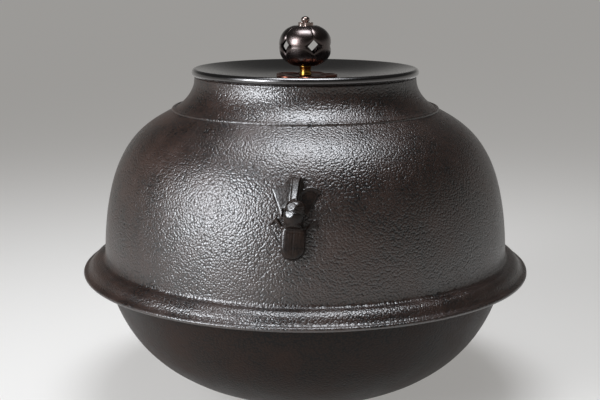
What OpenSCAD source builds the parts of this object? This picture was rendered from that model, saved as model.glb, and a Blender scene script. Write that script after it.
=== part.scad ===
// Cast-iron tea kettle with a waist flange, two insect-shaped lugs, a dished bronze lid
// and an openwork knob. Millimetres, +Z up. The origin is the centre of the base, and
// the lugs lie on the Y axis, the front one at -Y.

/* [Body] */
// Diameter of the belly where it meets the flange
belly_d = 235; // [220:1:250]
// Height of the mouth rim above the base
body_h = 187; // [178:1:200]
// Thickness of the cast wall
wall = 3.8; // [3:0.1:5]
// Thickness of the floor
floor_t = 5; // [4.5:0.1:8]
// Inner diameter of the mouth
mouth_d = 120; // [112:1:128]
// Rounding of the mouth rim
rim_round = 0.8; // [0.4:0.1:1.4]
// Diameter of the flat foot
foot_d = 64; // [58:1:76]
// Width of the ring that the foot stands on
foot_ring_w = 6; // [4:0.5:9]
// Depth of the hollow inside the foot ring
foot_recess = 0.8; // [0.5:0.1:1.5]
// Diameter of the trimmed casting gate under the base
gate_d = 26; // [18:1:34]
// Height of the trimmed casting gate
gate_h = 0.5; // [0.2:0.1:0.8]

/* [Profile] */
// Diameter of the shoulder at the raised line
shoulder_d = 152; // [146:1:160]
// Height of the neck above the raised line
neck_h = 18.5; // [16:0.5:21]
// Slope of the shoulder at the raised line, in degrees from level
shoulder_slope = 30; // [26:1:34]
// Slope of the bowl where it leaves the foot, in degrees from level
bowl_slope = 13.5; // [10:0.5:18]
// Lean of the bowl under the flange, in degrees from upright
bowl_lean = 11; // [8:0.5:14]
// Reach of the bowl's curve from the foot
bowl_reach = 52; // [44:1:58]
// Reach of the bowl's curve down from the waist
waist_reach = 46; // [38:1:52]
// Reach of the belly's curve up from the waist
belly_reach = 74; // [62:1:80]
// Reach of the shoulder's curve down from the raised line
shoulder_reach = 19; // [12:1:24]
// Reach of the neck's curve up from the raised line
neck_reach = 14; // [10:1:16]
// Width of the raised line
line_w = 2.4; // [1.6:0.1:3.2]
// Height of the raised line
line_h = 1.1; // [0.6:0.1:1.6]

/* [Flange] */
// Diameter of the flange at its lip
flange_d = 260; // [252:1:270]
// Height of the lip's middle above the base
flange_z = 76; // [70:1:82]
// Thickness of the lip
lip_t = 2.6; // [2:0.1:3.4]
// Height of the flange's root above the lip's middle
flange_rise = 7.5; // [5.5:0.5:10]
// Radius of the fillet between the flange and the belly
flange_fillet = 2; // [1:0.1:3]
// Drop of the flange's underside from the lip's middle to the wall
flange_drop = 5; // [3.5:0.5:6]
// Reach of the flange's rounded upper part
flange_crown = 6.5; // [4:0.5:8]
// Reach of the flange's hollow towards the lip
flange_hollow = 3; // [2:0.5:5]

/* [Lugs] */
// Height of the lug's ring eye above the flange lip
lug_rise = 53; // [48:1:58]
// Diameter of the ring eye
eye_d = 7.2; // [6:0.1:8]
// Metal between the ring eye and the wall
eye_seat = 1.4; // [1:0.1:2]
// Diameter of the bead round the ring eye
bead_d = 13.2; // [12:0.1:14.4]
// Width of the bead along the ring eye
bead_w = 10; // [8:0.1:11]
// Width of the crest from tip to tip
crest_w = 23.4; // [20:0.1:27]
// Width of the crest beside the ring eye
crest_foot_w = 13; // [11:0.1:15]
// Height of the crest above the ring eye
crest_h = 18.6; // [16:0.1:21]
// Height of the crest's outer tips above the ring eye
crest_tip_h = 12; // [10.5:0.1:13]
// Height of the side lobes above the ring eye
lobe_h = 14; // [13.2:0.1:15]
// Stand of the crest's plate off the wall
crest_t = 2.6; // [2:0.1:3.2]
// Foot width of the crest's keel
keel_foot_w = 8; // [6:0.1:9]
// Width of the flat band along the keel
keel_top_w = 2.4; // [1.6:0.1:3.2]
// Stand of the keel off the wall
keel_t = 5.4; // [4:0.1:6.4]
// Diameter of each wing cover
wing_d = 7.6; // [6.6:0.1:9.6]
// Width across both wing covers at the shoulders
wing_span = 12; // [10.6:0.1:16]
// Length of the wing covers below the ring eye
wing_l = 22.8; // [19:0.1:25]
// Angle by which each wing cover turns towards its tip, in degrees
wing_turn = 2; // [0:0.5:8]
// Stand of the wing covers off the wall
wing_t = 5.2; // [4.4:0.1:6.4]
// Diameter of the legs
leg_d = 2.2; // [1.6:0.1:2.6]
// Diameter of the knees
knee_d = 2.9; // [2.7:0.1:3.4]
// Distance between the knees
knee_span = 19.6; // [17:0.1:24]
// Drop of the knees below the ring eye
knee_drop = 4.2; // [3.6:0.1:5]
// Drop of the feet below the ring eye
leg_foot_drop = 7.2; // [6.4:0.1:8]
// Drop of the hips below the ring eye
hip_drop = 8.6; // [8:0.1:10]
// Diameter of the tenon in the wall
tenon_d = 8; // [6:0.1:10]
// Depth of the tenon in the wall
tenon_l = 2.4; // [1.6:0.1:2.6]
// Clearance round the tenon
tenon_gap = 0.1; // [0.05:0.01:0.2]

/* [Singing plates] */
// Length of a plate
plate_l = 21; // [17:0.5:22]
// Width of a plate
plate_w = 11; // [8:0.5:12]
// Thickness of a plate
plate_t = 2; // [1.5:0.1:3]
// Length of the foot that is stuck to the floor
plate_foot_l = 9; // [6:0.5:12]
// Height of the free end above the floor
plate_lift = 1.2; // [0.6:0.1:2]

/* [Lid] */
// Overhang of the lid beyond the neck
lid_overhang = 1.5; // [0.6:0.1:2.4]
// Thickness of the lid's rounded edge
lid_edge_t = 4.4; // [3.6:0.1:5.4]
// Depth of the dish below the edge
lid_dish = 5.6; // [4:0.1:7]
// Thickness of the plate
lid_t = 2.6; // [2:0.1:3]
// Slope of the dish at the edge, in degrees from level
lid_slope = 10; // [7:0.5:12]
// Reach of the dish's curve in from the edge
dish_edge_reach = 15; // [10:1:18]
// Reach of the dish's curve out from the level middle
dish_floor_reach = 16; // [10:1:20]
// Room between the lid's lip and the mouth
lip_gap = 0.7; // [0.4:0.1:1.2]
// Width of the lid's lip
lid_lip_w = 2.4; // [1.8:0.1:3.2]
// Drop of the lid's lip below the mouth rim
lid_lip_h = 5; // [3.5:0.5:7]

/* [Knob] */
// Diameter of the knob across its panels
knob_d = 30; // [27:0.5:33]
// Height of the knob's ball
knob_h = 24; // [22:0.5:27]
// Fullness of the knob's ball, 2 for a plain oval
knob_fullness = 2.4; // [2:0.1:3]
// Thickness of the shell at its panels
shell_t = 2; // [1.6:0.1:3]
// Width of the seams between the panels
seam_w = 1.4; // [0.8:0.1:2]
// Depth of the seams between the panels
seam_t = 0.5; // [0.3:0.1:0.8]
// Width of a window from corner to corner
window_w = 8.4; // [6:0.1:10]
// Height of a window from corner to corner
window_h = 8.6; // [6:0.1:10]
// Turn of the first window from the front towards +X, in degrees
window_turn = 22.5; // [0:0.5:71.5]
// Diameter of the stem at its ends
stem_d = 7.2; // [6.4:0.1:8]
// Diameter of the stem at its waist
stem_waist_d = 6.2; // [5.4:0.1:6.8]
// Height of the stem between the seat and the ball
stem_h = 5.9; // [4:0.1:7]
// Depth of the flats that the stem and the calyx seat on
pole_seat = 0.8; // [0.5:0.1:1]
// Diameter of the petal seat
seat_d = 37; // [33:0.2:40]
// Diameter of a petal
petal_d = 16.8; // [15:0.2:18.4]
// Thickness of the petal seat
seat_t = 1; // [0.8:0.1:1.4]
// Width of the raised rim round each petal
petal_rim = 1.4; // [1:0.1:2]
// Depth of the hollow in each petal
petal_depth = 0.4; // [0.2:0.1:0.5]
// Diameter of the calyx
calyx_d = 9; // [8:0.1:10]
// Diameter of a calyx petal
calyx_petal_d = 4.2; // [3.6:0.1:4.6]
// Height of the calyx
calyx_h = 1.2; // [1:0.1:1.8]
// Diameter of the pin
pin_d = 3; // [2.6:0.1:3.4]
// Clearance round the pin
pin_gap = 0.1; // [0.05:0.01:0.2]
// Diameter of the bead finial
finial_d = 5; // [4:0.1:5.8]
// Height of the bead finial
finial_h = 3.8; // [3:0.1:4.6]
// Height of the neck under the bead
finial_neck_h = 0.4; // [0.2:0.1:1]
// Diameter of the washer under the lid
washer_d = 13; // [10:0.5:16]
// Thickness of the washer
washer_t = 1; // [0.8:0.1:1.6]
// Diameter of the peened end of the pin
peen_d = 5.6; // [5:0.1:6.4]
// Height of the peened end of the pin
peen_h = 1.2; // [0.8:0.1:1.6]

/* [Hidden] */
$fn = 96;

// The knob, its seat and the singing plates share one five-fold order
folds = 5;
fold_angle = 360 / folds;

// Straight steps in a curve and in an arc
curve_steps = 22;
arc_steps = 8;
// Straight steps in the ball's side from pole to pole
ball_steps = 18;
// Margin by which cutting shapes pass the faces that they cut
over = 1;

iron = "#3a322d";
patina = "#35322f";
dark_bronze = "#2c211b";
copper = "#6b3a2a";
brass = "#b08a3e";
pale_copper = "#b08f7e";

belly_r = belly_d / 2;
mouth_r = mouth_d / 2;
neck_r = mouth_r + wall;
foot_r = foot_d / 2;
shoulder_r = shoulder_d / 2;
shoulder_z = body_h - neck_h;
waist_z = flange_z + lip_t / 2;

function bezier_at(c, t) =
  pow(1 - t, 3) * c[0] + 3 * pow(1 - t, 2) * t * c[1] + 3 * (1 - t) * t * t * c[2] + pow(t, 3) * c[3];
function bezier_way(c, t) =
  pow(1 - t, 2) * (c[1] - c[0]) + 2 * (1 - t) * t * (c[2] - c[1]) + t * t * (c[3] - c[2]);
function bezier(c, n = curve_steps) = [for (i = [0:n]) bezier_at(c, i / n)];
function arc(centre, r, from, to, n = arc_steps) =
  [for (i = [0:n]) let (a = from + (to - from) * i / n) centre + r * [cos(a), sin(a)]];
function polar(r, a) = r * [cos(a), sin(a)];
function rest(list) = [for (i = [1:len(list) - 1]) list[i]];
function reversed(list) = [for (i = [len(list) - 1:-1:0]) list[i]];

// A curve moved to its left by a distance, point by point
function beside(p, d) = [
  for (i = [0:len(p) - 1])
    let (way = p[min(i + 1, len(p) - 1)] - p[max(i - 1, 0)], u = way / norm(way))
    p[i] + d * [-u.y, u.x]
];

function between(p, low, high) = [for (q = p) if (q.y > low && q.y < high) q];
function radius_at(p, z) = lookup(z, [for (q = p) [q.y, q.x]]);

// The place on a rising curve, from 0 to 1, that has a given height
function place_at(c, z, low = 0, high = 1, n = 24) =
  let (mid = (low + high) / 2)
  n == 0 ? mid
  : bezier_at(c, mid).y < z ? place_at(c, z, mid, high, n - 1)
  : place_at(c, z, low, mid, n - 1);

// Outside of the casting without its flange: radius and height, from the foot to the rim
foot_edge = [foot_r, 0];
waist = [belly_r, waist_z];
line_point = [shoulder_r, shoulder_z];
neck_top = [neck_r, body_h - rim_round];
bowl_curve = [
  foot_edge,
  foot_edge + polar(bowl_reach, bowl_slope),
  waist - polar(waist_reach, 90 - bowl_lean),
  waist
];
belly_curve = [
  waist,
  waist + [0, belly_reach],
  line_point + polar(shoulder_reach, -shoulder_slope),
  line_point
];
neck_curve = [
  line_point,
  line_point - polar(neck_reach, -shoulder_slope),
  neck_top - [0, rim_round],
  neck_top
];
plain_side = concat(bezier(bowl_curve), rest(bezier(belly_curve)), rest(bezier(neck_curve)));
inner_side = beside(plain_side, wall);
floor_r = radius_at(inner_side, floor_t);

// Flange: its crown and hollow make an ogee between the belly and the lip
lip_r = lip_t / 2;
lip_centre = [flange_d / 2 - lip_r, flange_z];
lip_top = lip_centre + [0, lip_r];
flange_low_z = flange_z - flange_drop;
flange_high_z = flange_z + flange_rise + flange_fillet;
fillet_centre = [radius_at(plain_side, flange_high_z) + flange_fillet, flange_high_z];
flange_root = fillet_centre - [0, flange_fillet];
flange_side = concat(
  [[radius_at(plain_side, flange_low_z), flange_low_z]],
  arc(lip_centre, lip_r, -90, 90),
  rest(bezier([lip_top, lip_top - [flange_hollow, 0], flange_root + [flange_crown, 0], flange_root])),
  rest(arc(fillet_centre, flange_fillet, 270, 180))
);

// Raised line, half an oval across the shoulder
line_along = polar(line_w / 2, 180 - shoulder_slope);
line_out = polar(line_h, 90 - shoulder_slope);
line_side = [
  for (i = [0:arc_steps])
    let (a = 180 - 180 * i / arc_steps)
    line_point + line_along * cos(a) + line_out * sin(a)
];
line_low_z = line_point.y - line_along.y;
line_high_z = line_point.y + line_along.y;

// Seat of a lug on the wall: its place, and how far the wall leans in there
lug_place = place_at(belly_curve, flange_z + lug_rise);
lug_seat = bezier_at(belly_curve, lug_place);
lug_way = bezier_way(belly_curve, lug_place);
lug_lean = atan2(-lug_way.x, lug_way.y);
eye_r = eye_d / 2;
eye_z = eye_seat + eye_r;
bead_r = bead_d / 2;
// Depth to which the lug's shapes run under the wall before they are cut to it
lug_sunk = 5;
// Room round the ring eye, where a ring passes the crest and the legs
ring_room = 0.6;

// Lid and knob stack, from the mouth rim upwards
lid_r = neck_r + lid_overhang;
lid_edge_r = lid_edge_t / 2;
lid_edge_centre = [lid_r - lid_edge_r, body_h + lid_edge_r];
dish_z = body_h + lid_edge_t - lid_dish;
dish_floor_r = seat_d / 2 + over;
lip_r_out = mouth_r - lip_gap;
lip_r_in = lip_r_out - lid_lip_w;
pin_hole_d = pin_d + 2 * pin_gap;
stem_z = dish_z + seat_t;
ball_half_h = knob_h / 2;
ball_z = stem_z + stem_h + ball_half_h - pole_seat;
calyx_z = ball_z + ball_half_h - pole_seat;
finial_z = calyx_z + calyx_h;
washer_z = dish_z - lid_t - washer_t;

module turned(outline) {
  rotate_extrude()
    polygon(outline);
}

// The casting

module kettle_section() {
  polygon(concat(
    [
      [0, foot_recess - gate_h],
      [gate_d / 2, foot_recess - gate_h],
      [gate_d / 2, foot_recess],
      [foot_r - foot_ring_w, foot_recess],
      [foot_r - foot_ring_w, 0],
      foot_edge
    ],
    between(plain_side, 0, flange_low_z),
    flange_side,
    between(plain_side, flange_high_z, line_low_z),
    line_side,
    between(plain_side, line_high_z, body_h),
    rest(arc([neck_r - rim_round, body_h - rim_round], rim_round, 0, 90)),
    arc([mouth_r + rim_round, body_h - rim_round], rim_round, 90, 180),
    rest(reversed(between(inner_side, floor_t, body_h))),
    [[floor_r, floor_t], [0, floor_t]]
  ));
}

module kettle_body() {
  color(iron)
    difference() {
      rotate_extrude()
        kettle_section();
      for (side = [0, 180])
        on_wall(side)
          translate([0, 0, -tenon_l - tenon_gap])
            cylinder(d = tenon_d + 2 * tenon_gap, h = tenon_l + lug_sunk);
    }
}

// Lugs, drawn flat: X to the right, Y up the wall, Z off the wall, from the ring eye's place

module on_wall(side) {
  rotate([0, 0, side])
    translate([0, -lug_seat.x, lug_seat.y])
      rotate([90 - lug_lean, 0, 0])
        children();
}

module both_sides() {
  children();
  mirror([1, 0, 0])
    children();
}

module rod(from, to, d) {
  way = to - from;
  translate(from)
    rotate([0, acos(way.z / norm(way)), atan2(way.y, way.x)])
      cylinder(d = d, h = norm(way));
}

// A rod with round ends, up from the origin
module capsule(d, length) {
  turned(concat(arc([0, 0], d / 2, -90, 0), arc([0, length], d / 2, 0, 90)));
}

module crest() {
  right = [
    [crest_foot_w / 2, 0],
    [crest_w / 2, crest_tip_h],
    [(crest_w + keel_foot_w) / 4, lobe_h],
    [keel_foot_w / 2, crest_tip_h],
    [keel_foot_w / 2, crest_h]
  ];
  left = [for (p = reversed(right)) [-p.x, p.y]];
  translate([0, 0, -lug_sunk])
    linear_extrude(height = lug_sunk + crest_t)
      polygon(concat(right, left));
  translate([0, crest_h, 0])
    rotate([90, 0, 0])
      linear_extrude(height = crest_h)
        polygon([
          [-keel_foot_w / 2, 0],
          [keel_foot_w / 2, 0],
          [keel_top_w / 2, keel_t],
          [-keel_top_w / 2, keel_t]
        ]);
}

module bead() {
  intersection() {
    translate([0, 0, eye_z])
      sphere(d = bead_d);
    cube([bead_w, 2 * bead_d, 4 * bead_d], center = true);
  }
}

module wing_cover() {
  wing_r = wing_d / 2;
  translate([wing_span / 2 - wing_r, -hip_drop, wing_t - wing_r])
    rotate([90, 0, -wing_turn])
      capsule(wing_d, wing_l - hip_drop - wing_r);
}

module leg() {
  hip = [wing_span / 2 - leg_d, -hip_drop, 0];
  knee = [knee_span / 2, -knee_drop, 0];
  toe = [knee_span / 2 + leg_d, -leg_foot_drop, 0];
  rod(hip, knee, leg_d);
  rod(knee, toe, leg_d);
  translate(knee)
    sphere(d = knee_d);
}

module lug() {
  along_eye = [0, 90, 0];
  difference() {
    union() {
      difference() {
        union() {
          crest();
          both_sides()
            leg();
        }
        translate([0, 0, eye_z])
          rotate(along_eye)
            cylinder(d = eye_d + 2 * ring_room, h = 2 * crest_w, center = true);
      }
      bead();
      both_sides()
        wing_cover();
    }
    translate([0, 0, eye_z])
      rotate(along_eye)
        cylinder(d = eye_d, h = 2 * crest_w, center = true);
  }
}

// The belly's wall near the lugs, in the lug's flat frame
module wall_under_lug() {
  rotate([lug_lean - 90, 0, 0])
    translate([0, lug_seat.x, -lug_seat.y])
      turned(concat([[0, waist_z]], bezier(belly_curve), [[0, shoulder_z]]));
}

module set_lug(side) {
  color(iron)
    on_wall(side) {
      difference() {
        lug();
        wall_under_lug();
      }
      translate([0, 0, -tenon_l])
        cylinder(d = tenon_d, h = tenon_l + eye_seat / 2);
    }
}

module lug_front() {
  set_lug(0);
}

module lug_back() {
  set_lug(180);
}

// Singing plates, each with its foot towards the rim of the floor

module singing_plate(i) {
  ramp = plate_lift + plate_t;
  color(iron)
    rotate([0, 0, (i - 1) * fold_angle])
      translate([foot_r, plate_w / 2, floor_t])
        rotate([90, 0, 0])
          linear_extrude(height = plate_w)
            polygon([
              [0, 0],
              [0, plate_t],
              [-plate_foot_l, plate_t],
              [-plate_foot_l - ramp, plate_t + plate_lift],
              [-plate_l, plate_t + plate_lift],
              [-plate_l, plate_lift],
              [-plate_foot_l - ramp, plate_lift],
              [-plate_foot_l, 0]
            ]);
}

// Lid

module lid_plate() {
  edge_end = lid_edge_centre + polar(lid_edge_r, 90 + lid_slope);
  dish_floor = [dish_floor_r, dish_z];
  dish = bezier([
    edge_end,
    edge_end - polar(dish_edge_reach, lid_slope),
    dish_floor + [dish_floor_reach, 0],
    dish_floor
  ]);
  under = [for (p = beside(dish, lid_t)) if (p.x < lip_r_in) p];
  color(patina)
    difference() {
      turned(concat(
        [[0, dish_z - lid_t]],
        reversed(under),
        [
          [lip_r_in, body_h - lid_lip_h],
          [lip_r_out, body_h - lid_lip_h],
          [lip_r_out, body_h]
        ],
        arc(lid_edge_centre, lid_edge_r, -90, 90 + lid_slope, 2 * arc_steps),
        rest(dish),
        [[0, dish_z]]
      ));
      translate([0, 0, washer_z])
        cylinder(d = pin_hole_d, h = washer_t + lid_t + over);
    }
}

// Knob

module around(count) {
  for (i = [0:count - 1])
    rotate([0, 0, window_turn - 90 + i * 360 / count])
      children();
}

module pin_hole(from, to) {
  translate([0, 0, from - over])
    cylinder(d = pin_hole_d, h = to - from + 2 * over);
}

module knob_seat() {
  petal_out = (seat_d - petal_d) / 2;
  color(copper)
    difference() {
      translate([0, 0, dish_z])
        linear_extrude(height = seat_t) {
          circle(r = petal_out);
          around(folds)
            translate([petal_out, 0])
              circle(d = petal_d);
        }
      translate([0, 0, dish_z + seat_t - petal_depth])
        around(folds)
          translate([petal_out + petal_rim / 2, 0])
            cylinder(d = petal_d - 3 * petal_rim, h = over);
      pin_hole(dish_z, stem_z);
    }
}

module knob_stem() {
  stem_r = stem_d / 2;
  waist_r = stem_waist_d / 2;
  color(brass)
    difference() {
      turned(concat(
        [[0, stem_z], [stem_r, stem_z]],
        bezier([
          [stem_r, stem_z + stem_h / 6],
          [waist_r, stem_z + stem_h / 3],
          [waist_r, stem_z + 2 * stem_h / 3],
          [stem_r, stem_z + 5 * stem_h / 6]
        ], arc_steps),
        [[stem_r, stem_z + stem_h], [0, stem_z + stem_h]]
      ));
      pin_hole(stem_z, stem_z + stem_h);
    }
}

// The knob's ball, smaller all round by an inset
module ball(inset = 0) {
  power = 2 / knob_fullness;
  translate([0, 0, ball_z])
    turned([
      for (i = [0:ball_steps])
        let (a = 180 * i / ball_steps - 90)
        [
          (knob_d / 2 - inset) * pow(cos(a), power),
          (knob_h / 2 - inset) * sign(a) * pow(abs(sin(a)), power)
        ]
    ]);
}

// Seams from pole to pole through the windows, and one round the equator
module seams() {
  difference() {
    translate([0, 0, ball_z]) {
      around(folds)
        translate([0, -seam_w / 2, -knob_h])
          cube([knob_d, seam_w, 2 * knob_h]);
      cylinder(d = 2 * knob_d, h = seam_w, center = true);
    }
    ball(seam_t);
  }
}

module window() {
  rotate([0, 90, 0])
    linear_extrude(height = knob_d)
      polygon([[-window_h / 2, 0], [0, -window_w / 2], [window_h / 2, 0], [0, window_w / 2]]);
}

module knob_shell() {
  color(dark_bronze)
    difference() {
      ball();
      ball(shell_t);
      seams();
      translate([0, 0, ball_z])
        around(folds)
          window();
      translate([0, 0, stem_z + stem_h - pole_seat - over])
        cylinder(d = stem_d + 2 * pin_gap, h = pole_seat + over);
      translate([0, 0, calyx_z])
        cylinder(d = calyx_d + 2 * pin_gap, h = pole_seat + over);
      pin_hole(stem_z, finial_z);
    }
}

module knob_calyx() {
  calyx_out = (calyx_d - calyx_petal_d) / 2;
  color(pale_copper)
    difference() {
      translate([0, 0, calyx_z])
        linear_extrude(height = calyx_h) {
          circle(r = calyx_out);
          around(folds)
            translate([calyx_out, 0])
              circle(d = calyx_petal_d);
        }
      pin_hole(calyx_z, finial_z);
    }
}

module knob_pin() {
  pin_r = pin_d / 2;
  bead_z = finial_z + finial_neck_h + finial_h / 2;
  color(pale_copper) {
    translate([0, 0, washer_z])
      cylinder(r = pin_r, h = bead_z - washer_z);
    translate([0, 0, finial_z])
      cylinder(d = finial_d, h = finial_neck_h / 2);
    translate([0, 0, bead_z])
      scale([1, 1, finial_h / finial_d])
        sphere(d = finial_d);
    translate([0, 0, washer_z - peen_h])
      cylinder(d1 = pin_d, d2 = peen_d, h = peen_h);
  }
}

module under_washer() {
  color(brass)
    difference() {
      translate([0, 0, washer_z])
        cylinder(d = washer_d, h = washer_t);
      pin_hole(washer_z, washer_z + washer_t);
    }
}

kettle_body();
lug_front();
lug_back();
singing_plate(1);  // singing_plate_1
singing_plate(2);  // singing_plate_2
singing_plate(3);  // singing_plate_3
singing_plate(4);  // singing_plate_4
singing_plate(5);  // singing_plate_5
lid_plate();
knob_seat();
knob_stem();
knob_shell();
knob_calyx();
knob_pin();
under_washer();
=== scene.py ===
"""Looks of a cast-iron tea kettle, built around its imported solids.

The kettle is one iron casting with a waist flange and two insect-shaped lugs. Its lid is a
dished bronze plate with an openwork knob on a petal seat. Sizes in the classes are in
millimetres, meshes are in metres, and every piece lies where its solid lies.
"""

import logging
import math
from collections.abc import Callable, Sequence
from dataclasses import dataclass, field
from enum import Enum

import bmesh
import bpy
from mathutils import Matrix, Vector, noise
from mathutils.geometry import interpolate_bezier


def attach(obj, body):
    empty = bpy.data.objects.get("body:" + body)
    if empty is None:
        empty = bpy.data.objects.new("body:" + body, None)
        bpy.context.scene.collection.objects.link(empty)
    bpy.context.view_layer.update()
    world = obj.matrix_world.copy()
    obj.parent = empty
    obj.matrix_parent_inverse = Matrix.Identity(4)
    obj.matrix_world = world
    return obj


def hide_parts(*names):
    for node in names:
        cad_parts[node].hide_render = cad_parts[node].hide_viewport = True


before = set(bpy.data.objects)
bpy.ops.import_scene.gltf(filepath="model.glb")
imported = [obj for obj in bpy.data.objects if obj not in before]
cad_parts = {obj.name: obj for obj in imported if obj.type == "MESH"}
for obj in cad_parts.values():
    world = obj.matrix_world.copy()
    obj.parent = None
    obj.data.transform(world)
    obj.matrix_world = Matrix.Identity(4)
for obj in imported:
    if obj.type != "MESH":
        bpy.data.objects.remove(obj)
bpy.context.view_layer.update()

LOG = logging.getLogger("kettle")
MM = 0.001
# The knob, its seat and its calyx share one five-fold order
FOLDS = 5
FOLD_ANGLE = math.tau / FOLDS
# Distance at which two points count as one, in metres
WELD = MM / 10000
# Angle in degrees above which an edge stays sharp, where a piece has none of its own
CREASE = 40.0
# Limits between which cloud noise mostly stays
CLOUD_LOW = 0.3
CLOUD_HIGH = 0.7

Corner = tuple[float, ...]
Outline = tuple[Corner, ...]


class Body(Enum):
    """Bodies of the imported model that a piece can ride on."""

    KETTLE = "kettle"
    LID = "lid"


class Slot(Enum):
    """Material slots of the record."""

    IRON = "iron"
    LID_BRONZE = "lid_bronze"
    KNOB_BRONZE = "knob_bronze"
    SEAT_COPPER = "seat_copper"
    STEM_BRASS = "stem_brass"
    FINIAL_COPPER = "finial_copper"


def linear(hex_colour: str) -> tuple[float, float, float, float]:
    """Turns an sRGB hex colour to a linear one.

    Args:
        hex_colour: Colour such as "#3a322d".

    Returns:
        Linear red, green and blue, and an alpha of 1.
    """
    parts = [int(hex_colour[i:i + 2], 16) / 255 for i in (1, 3, 5)]
    red, green, blue = (p / 12.92 if p <= 0.04045 else ((p + 0.055) / 1.055) ** 2.4 for p in parts)
    return red, green, blue, 1.0


def add_node(
    tree: bpy.types.NodeTree, kind: str, inputs: dict[str | int, object], **settings: object
) -> bpy.types.Node:
    """Adds a node to a tree, sets it and links it.

    Args:
        tree: Node tree of a material or of the world.
        kind: Blender's name for the kind of node.
        inputs: Input sockets by name or number, each with a value or with a socket to link from.
        **settings: Properties of the node itself.

    Returns:
        The new node.
    """
    made = tree.nodes.new(kind)
    for name, value in settings.items():
        setattr(made, name, value)
    for key, value in inputs.items():
        if isinstance(value, bpy.types.NodeSocket):
            tree.links.new(value, made.inputs[key])
        else:
            made.inputs[key].default_value = value
    return made


def smooth_step(low: float, high: float, value: float) -> float:
    """Gives 0 below low, 1 above high, and a smooth rise between them."""
    t = min(max((value - low) / (high - low), 0.0), 1.0)
    return t * t * (3 - 2 * t)


def dent(distance: float, width: float) -> float:
    """Gives the depth of a rounded groove, 1 in its middle, at a distance from its middle."""
    return math.exp(-((distance / width) ** 2))


def polar(length: float, degrees: float) -> Vector:
    """Gives a step of a length in a direction, as radius and height."""
    return Vector((math.cos(math.radians(degrees)), math.sin(math.radians(degrees)))) * length


def curve(points: Sequence[Vector], steps: int) -> list[Vector]:
    """Samples a cubic curve.

    Args:
        points: Start, two levers and end.
        steps: Number of straight steps.

    Returns:
        Points along the curve, both ends included.
    """
    return [Vector(p[:2]) for p in interpolate_bezier(*(p.to_3d() for p in points), steps + 1)]


def arc(centre: Vector, radius: float, start: float, end: float, steps: int) -> list[Vector]:
    """Samples a circular arc.

    Args:
        centre: Middle of the arc, as radius and height.
        radius: Radius of the arc.
        start: First angle in degrees.
        end: Last angle in degrees.
        steps: Number of straight steps.

    Returns:
        Points along the arc, both ends included.
    """
    return [centre + polar(radius, start + (end - start) * i / steps) for i in range(steps + 1)]


def beside(points: Sequence[Vector], distance: float) -> list[Vector]:
    """Moves a line of points to its left.

    Args:
        points: Points of the line, in order.
        distance: How far each point moves, square to the line.

    Returns:
        The moved points.
    """
    moved = []
    last = len(points) - 1
    for i, point in enumerate(points):
        way = (points[min(i + 1, last)] - points[max(i - 1, 0)]).normalized()
        moved.append(point + Vector((-way.y, way.x)) * distance)
    return moved


def between(points: Sequence[Vector], low: float, high: float) -> list[Vector]:
    """Keeps the points whose height lies between two heights."""
    return [p for p in points if low < p.y < high]


def radius_at(points: Sequence[Vector], height: float) -> float:
    """Finds the radius of a rising line of points at a height.

    Args:
        points: Points of the line, rising.
        height: Height to look for.

    Returns:
        The radius there.
    """
    for a, b in zip(points, points[1:]):
        if a.y <= height <= b.y:
            return a.x + (b.x - a.x) * (height - a.y) / (b.y - a.y)
    raise ValueError(f"the line does not reach a height of {height}")


def spun(outline: Sequence[Vector], columns: int, closed: bool) -> bmesh.types.BMesh:
    """Turns an outline once round the Z axis.

    Args:
        outline: Radius and height of each point, in millimetres.
        columns: Number of steps round the axis.
        closed: Whether the last point joins the first, as in a ring. If not, both ends lie on the axis.

    Returns:
        A closed mesh in metres with its faces outwards.
    """
    bm = bmesh.new()
    verts = [bm.verts.new((p.x * MM, 0, p.y * MM)) for p in outline]
    ends = verts[1:] + verts[:1] if closed else verts[1:]
    edges = [bm.edges.new(pair) for pair in zip(verts, ends)]
    bmesh.ops.spin(
        bm, geom=verts + edges, cent=(0, 0, 0), axis=(0, 0, 1), dvec=(0, 0, 0),
        angle=math.tau, steps=columns, use_merge=True, use_duplicate=False,
    )
    bmesh.ops.remove_doubles(bm, verts=bm.verts[:], dist=WELD)
    bmesh.ops.recalc_face_normals(bm, faces=bm.faces[:])
    bm.normal_update()
    return bm


def petal_edge(angle: float, reach: float, petal_r: float) -> float:
    """Finds the edge of a ring of round petals.

    Args:
        angle: Angle from the middle of the nearest petal, in radians.
        reach: Distance of the petals' middles from the axis.
        petal_r: Radius of a petal.

    Returns:
        Distance of the edge from the axis.
    """
    return reach * math.cos(angle) + math.sqrt(petal_r ** 2 - (reach * math.sin(angle)) ** 2)


def petal_angle(x: float, y: float, turn: float) -> float:
    """Gives the angle, in radians, from the middle of the nearest petal of a five-petalled ring."""
    angle = math.atan2(y, x) - turn
    return angle - FOLD_ANGLE * round(angle / FOLD_ANGLE)


def add_object(name: str, data: bpy.types.ID) -> bpy.types.Object:
    """Adds an object of a mesh, a lamp or a camera to the scene.

    Args:
        name: Name of the object.
        data: Its mesh, lamp or camera.

    Returns:
        The new object.
    """
    made = bpy.data.objects.new(name, data)
    bpy.context.scene.collection.objects.link(made)
    return made


def add_mesh(name: str, bm: bmesh.types.BMesh) -> bpy.types.Object:
    """Adds an object of a finished mesh to the scene.

    Args:
        name: Name of the object and its mesh.
        bm: Finished mesh in metres, which is freed.

    Returns:
        The new object.
    """
    mesh = bpy.data.meshes.new(name)
    bm.to_mesh(mesh)
    bm.free()
    return add_object(name, mesh)


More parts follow.
